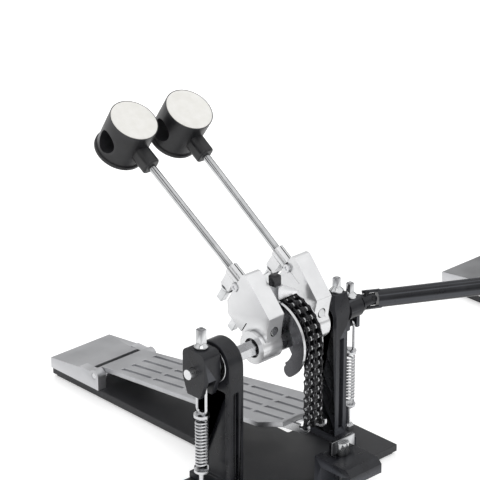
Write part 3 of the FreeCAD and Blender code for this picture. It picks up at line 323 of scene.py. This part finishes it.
edgeWidths = {
    "right_upright": 1.4, "left_upright": 1.2, "second_uprights": 1.2, "right_rocker": 2.6,
    "left_rocker": 1.8, "right_beater_hub": 1.3, "left_beater_hub": 1.3, "right_rod_clamp": 0.7,
    "left_rod_clamp": 0.7, "main_cam": 0.6, "second_cam": 0.6, "right_clamp_bolts": 0.35,
    "left_clamp_bolts": 0.35, "left_upright_bolt": 0.35, "drive_tube_bolt": 0.35, "main_cam_bolts": 0.4,
    "main_base_plate": 1.0, "second_base_plate": 1.0, "heel_plates": 1.2, "main_toe_clevis": 0.6,
    "second_toe_clevis": 0.6, "hoop_jaw": 1.0, "hoop_screw": 0.8, "drive_fork": 0.9, "drive_tube": 0.9,
    "drive_bar": 0.7, "near_drive_cross": 0.5, "far_drive_cross": 0.5, "second_shaft": 0.6,
    "main_shaft": 0.5, "left_shaft": 0.5, "spring_tensioners": 0.5, "grip_pads": 0.8,
    "right_stirrup": 0.3, "left_stirrup": 0.3, "main_cam_lining": 0.2, "second_cam_lining": 0.2,
    "right_beater_rod": 0.5, "left_beater_rod": 0.5, "heel_pins": 0.5}
chainWidth = 0.4
for unit in ("main", "second"):
    for part in ("wrap", "link_a", "link_b", "link_c", "drop"):
        edgeWidths[unit + "_chain_" + part] = chainWidth

for node, width in edgeWidths.items():
    softened(node, width * mm)
for node, part in nodes.items():
    if node not in edgeWidths:
        part.data.materials.clear()
        part.data.materials.append(finishes[slotOf[node]])
print("edges rounded on", len(edgeWidths), "nodes")


# Round pieces: a profile of (radius, height) pairs turned about a line
def turned(profile, foot, way, sides=32, squeeze=None):
    frameTurn = Vector(way).to_track_quat("Z", "Y").to_matrix()
    shape = bmesh.new()
    rings = []
    for level, (radius, height) in enumerate(profile):
        if radius == 0:
            rings.append([shape.verts.new(Vector(foot) + frameTurn @ Vector((0, 0, height)))])
            continue
        ring = []
        for step in range(sides):
            angle = 2 * math.pi * step / sides
            reach = radius * squeeze(level, angle) if squeeze else radius
            spot = Vector((reach * math.cos(angle), reach * math.sin(angle), height))
            ring.append(shape.verts.new(Vector(foot) + frameTurn @ spot))
        rings.append(ring)
    for low, high in zip(rings, rings[1:]):
        for step in range(sides):
            corners = [low[step % len(low)], low[(step + 1) % len(low)],
                       high[(step + 1) % len(high)], high[step % len(high)]]
            shape.faces.new(list(dict.fromkeys(corners)))
    bmesh.ops.recalc_face_normals(shape, faces=shape.faces)
    for face in shape.faces:
        face.smooth = True
    return shape


def joinedMesh(name, shapes, sharp=40.0):
    mesh = bpy.data.meshes.new(name)
    whole = bmesh.new()
    for shape in shapes:
        part = bpy.data.meshes.new("part")
        shape.to_mesh(part)
        shape.free()
        whole.from_mesh(part)
        bpy.data.meshes.remove(part)
    whole.to_mesh(mesh)
    whole.free()
    mesh.set_sharp_from_angle(angle=math.radians(sharp))
    return mesh


# A round tube swept along points
def tube(points, radius, sides=12):
    shape = bmesh.new()
    rings = []
    side = Vector((1, 0, 0))
    for index, point in enumerate(points):
        ahead = points[min(index + 1, len(points) - 1)]
        behind = points[max(index - 1, 0)]
        way = (ahead - behind).normalized()
        side = (side - way * side.dot(way)).normalized()
        up = way.cross(side)
        ring = []
        for step in range(sides):
            angle = 2 * math.pi * step / sides
            ring.append(shape.verts.new(point + (side * math.cos(angle) + up * math.sin(angle)) * radius))
        rings.append(ring)
    for low, high in zip(rings, rings[1:]):
        for step in range(sides):
            after = (step + 1) % sides
            shape.faces.new((low[step], low[after], high[after], high[step]))
    shape.faces.new(list(reversed(rings[0])))
    shape.faces.new(rings[-1])
    for face in shape.faces:
        face.smooth = True
    return shape


# Return springs: wound wire that stretches between the tensioner's cup and the stirrup
springWire = {"radius": 1.0 * mm, "turns": 14, "bend": 2.4 * mm, "straight": 2.0 * mm, "steps": 28}


def makeSpring(side, wire):
    low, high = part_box(side + "_spring")
    middle = (low + high) / 2
    reach = (high.x - low.x) / 2 - wire["radius"]
    start = low.z + wire["straight"] + wire["bend"]
    climb = high.z - wire["straight"] - wire["bend"] - start
    points = [Vector((middle.x + reach, middle.y - wire["bend"], low.z))]
    points.append(points[0] + Vector((0, 0, wire["straight"])))
    count = wire["turns"] * wire["steps"]
    for step in range(count + 1):
        angle = 2 * math.pi * step / wire["steps"]
        points.append(Vector((middle.x + reach * math.cos(angle), middle.y + reach * math.sin(angle),
                              start + climb * step / count)))
    points.append(Vector((middle.x + reach, middle.y + wire["bend"], high.z - wire["straight"])))
    points.append(points[-1] + Vector((0, 0, wire["straight"])))
    mesh = joinedMesh(side + "Spring", [tube(points, wire["radius"])])
    piece = addPiece(side + "_spring_coil", mesh, "steel", None, (side + "_spring",))
    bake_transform(piece)


for side in ("right", "left"):
    makeSpring(side, springWire)
print("springs wound")


# Chains: rivets with a low dome on both ends of each pin, and painted highlight bands on the rollers
chainRun = {"pitch": 9.525 * mm, "turn": 14.0, "plateFace": 9.9 * mm, "domeRadius": 1.9 * mm,
            "domeHeight": 0.5 * mm, "wrapPins": (3, 4, 5, 6), "linkPins": (1, 2), "dropPins": range(-8, 1),
            "rivetSides": 14, "rowOffset": 4.9 * mm, "bandRadius": 3.2 * mm, "bandHalf": 1.1 * mm,
            "bandBore": 2.8 * mm, "bandRound": 0.07 * mm, "bandSides": 20,
            "rollerPins": {"chain_wrap": (4, 5, 6, 7), "chain_link_a": (2, 3), "chain_link_c": (0, 1),
                           "chain_drop": range(-8, 0)}}


def pinPlace(number, centre, run):
    radius = run["pitch"] / 2 / math.sin(math.radians(run["turn"] / 2))
    angle = math.radians(run["turn"] * max(number, 0))
    drop = min(number, 0) * run["pitch"]
    return centre + Vector((0, -radius * math.cos(angle), radius * math.sin(angle) + drop))


def makeRivets(unit, centre, run):
    groups = {"chain_wrap": run["wrapPins"], "chain_link_b": run["linkPins"], "chain_drop": run["dropPins"]}
    wide, tall = run["domeRadius"], run["domeHeight"]
    profile = [(0, -tall), (wide, -tall), (wide, 0.0), (wide * 0.85, tall * 0.6), (wide * 0.5, tall * 0.9),
               (0, tall)]
    for part, numbers in groups.items():
        shapes = []
        for number in numbers:
            for way in (-1, 1):
                face = pinPlace(number, centre, run) + Vector((way * run["plateFace"], 0, 0))
                shapes.append(turned(profile, face, (way, 0, 0), run["rivetSides"]))
        node = unit + "_" + part
        addPiece(node + "_rivets", joinedMesh(node + "Rivets", shapes), "chrome", bodyOf[node])


# Painted highlight: a bright chrome ring on the middle of each black roller stands in for the roller's glint
def makeRollerGlints(unit, centre, run):
    wide, half, bore, nip = run["bandRadius"], run["bandHalf"], run["bandBore"], run["bandRound"]
    profile = [(bore, -half), (wide - 3 * nip, -half), (wide - nip, -half / 2), (wide, 0),
               (wide - nip, half / 2), (wide - 3 * nip, half), (bore, half), (bore, -half)]
    for part, numbers in run["rollerPins"].items():
        shapes = []
        for number in numbers:
            for row in (-run["rowOffset"], run["rowOffset"]):
                spot = pinPlace(number, centre, run) + Vector((row, 0, 0))
                shapes.append(turned(profile, spot, (1, 0, 0), run["bandSides"]))
        node = unit + "_" + part
        addPiece(node + "_glint_bands", joinedMesh(node + "GlintBands", shapes), "chrome", bodyOf[node])


strokeAt = {joint["name"]: Vector(joint["pos_m"]) for joint in frame["joints"] if "pos_m" in joint}
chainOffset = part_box("second_cam_lining")[0].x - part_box("main_cam_lining")[0].x
secondCentre = Vector((chainOffset, strokeAt["second_shaft_turn"].y, strokeAt["main_stroke"].z))
for unit, centre in (("main", strokeAt["main_stroke"]), ("second", secondCentre)):
    makeRivets(unit, centre, chainRun)
    makeRollerGlints(unit, centre, chainRun)
print("chains riveted")


# Turned detail on the screw heads and bearings, read off each solid of the node
screwHead = {"round": 0.6 * mm, "socket": 0.55, "depth": 1.6 * mm, "sides": 36}
bearingFace = {"race": 0.26, "sink": 0.7 * mm, "round": 0.4 * mm, "sides": 48}


def solidsOf(node):
    shape = bmesh.new()
    shape.from_mesh(nodes[node].data)
    shape.transform(nodes[node].matrix_world)
    bmesh.ops.remove_doubles(shape, verts=shape.verts, dist=edgeRound["join"])
    left = set(shape.verts)
    groups = []
    while left:
        queue = [left.pop()]
        group = []
        while queue:
            vert = queue.pop()
            group.append(vert.co.copy())
            for edge in vert.link_edges:
                other = edge.other_vert(vert)
                if other in left:
                    left.remove(other)
                    queue.append(other)
        groups.append(group)
    shape.free()
    return groups


def spanOf(spots):
    low = Vector([min(spot[axis] for spot in spots) for axis in range(3)])
    high = Vector([max(spot[axis] for spot in spots) for axis in range(3)])
    return low, high, (low + high) / 2


# Share of the corner radius that a hexagon reaches at an angle
def sixFlats(angle):
    sixth = math.pi / 3
    return math.cos(sixth / 2) / math.cos(angle % sixth - sixth / 2)


def hexSocket(level, angle):
    return sixFlats(angle) if level in (4, 5) else 1.0


def makeScrewHeads(node, look):
    shapes = []
    for spots in solidsOf(node):
        low, high, middle = spanOf(spots)
        radius, tall, nip = (high.x - low.x) / 2, high.z - low.z, look["round"]
        inner = radius * look["socket"]
        profile = [(0, 0), (radius, 0), (radius, tall - nip), (radius - nip, tall), (inner, tall),
                   (inner, tall - look["depth"]), (0, tall - look["depth"])]
        shapes.append(turned(profile, (middle.x, middle.y, low.z), (0, 0, 1), look["sides"], hexSocket))
    addPiece(node + "_heads", joinedMesh(node + "Heads", shapes), slotOf[node], bodyOf[node], (node,))


def makeBearings(node, look):
    shapes = []
    for spots in solidsOf(node):
        low, high, middle = spanOf(spots)
        outer, wide, nip = (high.z - low.z) / 2, high.x - low.x, look["round"]
        bore = min(math.hypot(spot.y - middle.y, spot.z - middle.z) for spot in spots)
        race = (outer - bore) * look["race"]
        half = [(bore, 0), (bore + race, 0), (bore + race, look["sink"]), (outer - race, look["sink"]),
                (outer - race, 0), (outer - nip, 0), (outer, nip)]
        profile = half + [(radius, wide - height) for radius, height in reversed(half)] + half[:1]
        shapes.append(turned(profile, (low.x, middle.y, middle.z), (1, 0, 0), look["sides"]))
    addPiece(node + "_races", joinedMesh(node + "Races", shapes), slotOf[node], bodyOf[node], (node,))


# Hexagonal nuts of the rod clamps, on the hubs' sides: offsets from the hub's low x and its high y and z
clampNut = {"radius": 4.8 * mm, "height": 1.5 * mm, "bore": 2.0 * mm, "sink": 0.9 * mm, "nip": 0.4 * mm,
            "root": 1.5 * mm, "sides": 36, "sharp": 30.0,
            "offsets": {"right": (5.0 * mm, -11.6 * mm, -17.0 * mm),
                        "left": (1.5 * mm, -18.6 * mm, -13.8 * mm)}}


def hexRim(level, angle):
    return sixFlats(angle) if level in (1, 2) else 1.0


def makeClampNuts(look):
    wide, tall, nip = look["radius"], look["height"], look["nip"]
    profile = [(0, -look["root"]), (wide, -look["root"]), (wide, tall - nip), (wide - 2 * nip, tall),
               (look["bore"], tall), (look["bore"], tall - look["sink"]), (0, tall - look["sink"])]
    for side, offset in look["offsets"].items():
        node = side + "_beater_hub"
        low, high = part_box(node)
        spot = Vector((low.x, high.y, high.z)) + Vector(offset)
        nut = turned(profile, spot, (-1, 0, 0), look["sides"], hexRim)
        mesh = joinedMesh(side + "ClampNut", [nut], look["sharp"])
        addPiece(side + "_clamp_nut", mesh, "steel", bodyOf[node])


makeClampNuts(clampNut)
makeScrewHeads("base_screws", screwHead)
makeBearings("bearings", bearingFace)
print("screws and bearings turned")


# Footboards: a tapered plate with rows of grooves, and the knuckle that turns on the heel pin
boardShape = {"low": 2.0 * mm, "thick": 6.0 * mm, "groove": 3.0 * mm, "knuckle": 7.0 * mm,
              "bore": 3.55 * mm, "knuckleSides": 40, "level": 0.9,
              "knuckleHalf": 30.6 * mm, "toeHalf": 42.0 * mm, "toeNip": 14.0 * mm, "rows": 5, "columns": 4,
              "slotLength": 46.0 * mm, "slotPitch": 51.52 * mm, "slotWidth": 5.0 * mm, "spread": 15.0 * mm,
              "edge": 0.9 * mm, "toeMargin": 5.0 * mm}


def boardFrame(node, hinge, level):
    mesh = nodes[node].data
    place = nodes[node].matrix_world
    top = max((face for face in mesh.polygons if face.normal.z > level), key=lambda face: face.area)
    slope = math.atan2(-top.normal.y, top.normal.z)
    along = Vector((0, math.cos(slope), math.sin(slope)))
    toe = min((place @ vert.co - hinge).dot(along) for vert in mesh.vertices)
    return along, Vector((0, -math.sin(slope), math.cos(slope))), toe


def boardHalf(look, reach, toe):
    stops = [(0.0, look["knuckleHalf"]), (-2 * look["knuckle"], look["knuckleHalf"]),
             (toe + look["toeHalf"] / 2, look["toeHalf"]), (toe, look["toeHalf"] - look["toeNip"])]
    for (high, wide), (low, narrow) in zip(stops, stops[1:]):
        if reach >= low:
            return wide + (narrow - wide) * (high - reach) / (high - low)
    return stops[-1][1]


def boardPlate(look, toe):
    slots = []
    for row in range(look["rows"]):
        start = -look["slotPitch"] * (row + 0.5)
        slots.append((start, max(start - look["slotLength"], toe + look["toeMargin"])))
    reaches = [0.0, -2 * look["knuckle"], toe + look["toeHalf"] / 2, toe]
    reaches += [reach for slot in slots for reach in slot]
    reaches = sorted(set(round(reach, 6) for reach in reaches), reverse=True)
    middles = [(column - (look["columns"] - 1) / 2) * look["spread"] for column in range(look["columns"])]
    lines = [middle + side * look["slotWidth"] / 2 for middle in middles for side in (-1, 1)]
    shape = bmesh.new()
    top = look["low"] + look["thick"]
    grid, base = [], []
    for reach in reaches:
        half = boardHalf(look, reach, toe)
        grid.append([shape.verts.new((x, reach, top)) for x in [-half] + lines + [half]])
        base.append([shape.verts.new((x, reach, look["low"])) for x in (-half, half)])
    grooves = []
    for row in range(len(reaches) - 1):
        middle = (reaches[row] + reaches[row + 1]) / 2
        inSlot = any(high > middle > low for high, low in slots)
        for cell in range(len(lines) + 1):
            corners = (grid[row + 1][cell], grid[row + 1][cell + 1], grid[row][cell + 1], grid[row][cell])
            face = shape.faces.new(corners)
            if inSlot and cell % 2 == 1:
                grooves.append(face)
        shape.faces.new((base[row][0], base[row][1], base[row + 1][1], base[row + 1][0]))
        shape.faces.new((grid[row][0], base[row][0], base[row + 1][0], grid[row + 1][0]))
        shape.faces.new((grid[row + 1][-1], base[row + 1][1], base[row][1], grid[row][-1]))
    shape.faces.new(grid[0] + [base[0][1], base[0][0]])
    shape.faces.new(list(reversed(grid[-1])) + [base[-1][0], base[-1][1]])
    cut = bmesh.ops.extrude_face_region(shape, geom=grooves)
    floor = [vert for vert in cut["geom"] if isinstance(vert, bmesh.types.BMVert)]
    bmesh.ops.translate(shape, verts=floor, vec=(0, 0, -look["groove"]))
    bmesh.ops.delete(shape, geom=grooves, context="FACES_ONLY")
    bmesh.ops.recalc_face_normals(shape, faces=shape.faces)
    for face in shape.faces:
        face.smooth = True
    return shape


def makeBoard(unit, look):
    node = unit + "_footboard"
    hinge = strokeAt[node + "_hinge"]
    along, up, toe = boardFrame(node, hinge, look["level"])
    mesh = bpy.data.meshes.new(node + "Plate")
    shape = boardPlate(look, toe)
    for vert in shape.verts:
        vert.co = hinge + Vector((vert.co.x, 0, 0)) + along * vert.co.y + up * vert.co.z
    shape.to_mesh(mesh)
    shape.free()
    draft = bpy.data.objects.new(node + "Draft", mesh)
    bpy.context.scene.collection.objects.link(draft)
    bevelled(draft, look["edge"])
    plate = bmesh.new()
    ready = finishedMesh(draft)
    plate.from_mesh(ready)
    bpy.data.objects.remove(draft)
    half, nip = look["knuckleHalf"], look["edge"]
    profile = [(look["bore"], -half), (look["knuckle"] - nip, -half), (look["knuckle"], -half + nip),
               (look["knuckle"], half - nip), (look["knuckle"] - nip, half), (look["bore"], half),
               (look["bore"], -half)]
    knuckle = turned(profile, hinge, (1, 0, 0), look["knuckleSides"])
    mesh = joinedMesh(node + "Board", [plate, knuckle])
    addPiece(node + "_board", mesh, slotOf[node], bodyOf[node], (node,))


for unit in ("main", "second"):
    makeBoard(unit, boardShape)
print("footboards made")


# Studio: pale floor, soft lamps, white surroundings and dark cards that draw lines in the metal
floorLook = {"size": 14.0, "colour": (0.82, 0.82, 0.82, 1.0), "lift": 0.42, "glossyShare": 0.45}
lampSet = {
    "key": {"from": (-1.1, -1.3, 1.9), "size": 1.8, "power": 6.5, "shines": True},
    "fill": {"from": (1.6, -1.2, 1.2), "size": 1.4, "power": 8.0, "shines": False},
    "rim": {"from": (0.6, 1.7, 1.6), "size": 1.0, "power": 10.0, "shines": False}}
lampAim = (0.0, 0.05, 0.2)


def makeFloor(look):
    half = look["size"] / 2
    mesh = bpy.data.meshes.new("floor")
    mesh.from_pydata([(-half, -half, 0), (half, -half, 0), (half, half, 0), (-half, half, 0)], [],
                     [(0, 1, 2, 3)])
    floor = bpy.data.objects.new("floor", mesh)
    bpy.context.scene.collection.objects.link(floor)
    paint, tree, shader = newFinish("paleFloor")
    tree.nodes.remove(shader)
    matt = tree.nodes.new("ShaderNodeBsdfDiffuse")
    matt.inputs["Color"].default_value = look["colour"]
    glow = tree.nodes.new("ShaderNodeEmission")
    path = tree.nodes.new("ShaderNodeLightPath")
    seen = tree.nodes.new("ShaderNodeMath")
    seen.operation = "MULTIPLY_ADD"
    seen.inputs[1].default_value = look["glossyShare"]
    amount = tree.nodes.new("ShaderNodeMath")
    amount.operation = "MULTIPLY"
    amount.inputs[1].default_value = look["lift"]
    both = tree.nodes.new("ShaderNodeAddShader")
    tree.links.new(path.outputs["Is Glossy Ray"], seen.inputs[0])
    tree.links.new(path.outputs["Is Camera Ray"], seen.inputs[2])
    tree.links.new(seen.outputs[0], amount.inputs[0])
    tree.links.new(amount.outputs[0], glow.inputs["Strength"])
    tree.links.new(matt.outputs[0], both.inputs[0])
    tree.links.new(glow.outputs[0], both.inputs[1])
    tree.links.new(both.outputs[0], tree.nodes["Material Output"].inputs["Surface"])
    mesh.materials.append(paint)


def makeLamps(lamps):
    for name, lamp in lamps.items():
        light = bpy.data.lights.new(name, "AREA")
        light.shape = "DISK"
        light.size = lamp["size"]
        light.energy = lamp["power"]
        holder = bpy.data.objects.new(name, light)
        holder.location = lamp["from"]
        way = Vector(lamp["from"]) - Vector(lampAim)
        holder.rotation_euler = way.to_track_quat("Z", "Y").to_euler()
        holder.visible_glossy = lamp["shines"]
        bpy.context.scene.collection.objects.link(holder)


# Cards that only the metal sees: grey where a facet should go grey, dark where it should draw a line
cardSet = {
    "facetCard": {"way": (0.63, -0.44, 0.63), "distance": 1.2, "size": (1.3, 1.1), "grey": 0.93},
    "sideCard": {"way": (0.9, 0.42, 0.16), "distance": 1.4, "size": (0.5, 0.9), "grey": 0.02},
    "topCard": {"way": (-0.45, -0.05, 0.88), "distance": 1.6, "size": (0.22, 1.2), "grey": 0.06},
    "frontCard": {"way": (0.2, -0.95, 0.2), "distance": 1.4, "size": (0.5, 0.5), "grey": 0.03},
    "leftCard": {"way": (-0.95, 0.2, 0.2), "distance": 1.4, "size": (0.4, 0.5), "grey": 0.03}}


def makeCards(cards):
    for name, card in cards.items():
        wide, high = [length / 2 for length in card["size"]]
        mesh = bpy.data.meshes.new(name)
        mesh.from_pydata([(-wide, -high, 0), (wide, -high, 0), (wide, high, 0), (-wide, high, 0)], [],
                         [(0, 1, 2, 3)])
        holder = bpy.data.objects.new(name, mesh)
        way = Vector(card["way"]).normalized()
        holder.location = Vector(lampAim) + way * card["distance"]
        holder.rotation_euler = way.to_track_quat("Z", "Y").to_euler()
        bpy.context.scene.collection.objects.link(holder)
        paint, tree, shader = newFinish(name)
        tree.nodes.remove(shader)
        glow = tree.nodes.new("ShaderNodeEmission")
        glow.inputs["Strength"].default_value = card["grey"]
        tree.links.new(glow.outputs[0], tree.nodes["Material Output"].inputs["Surface"])
        mesh.materials.append(paint)
        holder.visible_camera = False
        holder.visible_diffuse = False
        holder.visible_shadow = False


worldLook = {"light": 0.82, "horizon": 0.38, "zenith": 0.9, "skySpan": (0.0, 0.75), "white": 1.0}


def makeWorld(look):
    world = bpy.data.worlds.new("whiteRoom")
    world.use_nodes = True
    tree = world.node_tree
    soft = tree.nodes["Background"]
    soft.inputs["Color"].default_value = (1.0, 1.0, 1.0, 1.0)
    path = tree.nodes.new("ShaderNodeLightPath")
    coords = tree.nodes.new("ShaderNodeTexCoord")
    parts = tree.nodes.new("ShaderNodeSeparateXYZ")
    tree.links.new(coords.outputs["Generated"], parts.inputs[0])
    sky = addRange(tree, parts.outputs["Z"], look["horizon"], look["zenith"], look["skySpan"])
    mirror = tree.nodes.new("ShaderNodeMix")
    mirror.inputs[2].default_value = look["light"]
    tree.links.new(path.outputs["Is Glossy Ray"], mirror.inputs[0])
    tree.links.new(sky, mirror.inputs[3])
    clear = tree.nodes.new("ShaderNodeMath")
    clear.operation = "MAXIMUM"
    tree.links.new(path.outputs["Is Camera Ray"], clear.inputs[0])
    tree.links.new(path.outputs["Is Transmission Ray"], clear.inputs[1])
    tree.links.new(mirror.outputs[0], soft.inputs["Strength"])
    bright = tree.nodes.new("ShaderNodeBackground")
    bright.inputs["Color"].default_value = (1.0, 1.0, 1.0, 1.0)
    bright.inputs["Strength"].default_value = look["white"]
    both = tree.nodes.new("ShaderNodeMixShader")
    tree.links.new(clear.outputs[0], both.inputs["Fac"])
    tree.links.new(soft.outputs[0], both.inputs[1])
    tree.links.new(bright.outputs[0], both.inputs[2])
    tree.links.new(both.outputs[0], tree.nodes["World Output"].inputs["Surface"])
    bpy.context.scene.world = world


makeFloor(floorLook)
makeLamps(lampSet)
makeCards(cardSet)
makeWorld(worldLook)
bpy.context.scene.view_settings.view_transform = "Standard"
print("studio lit")
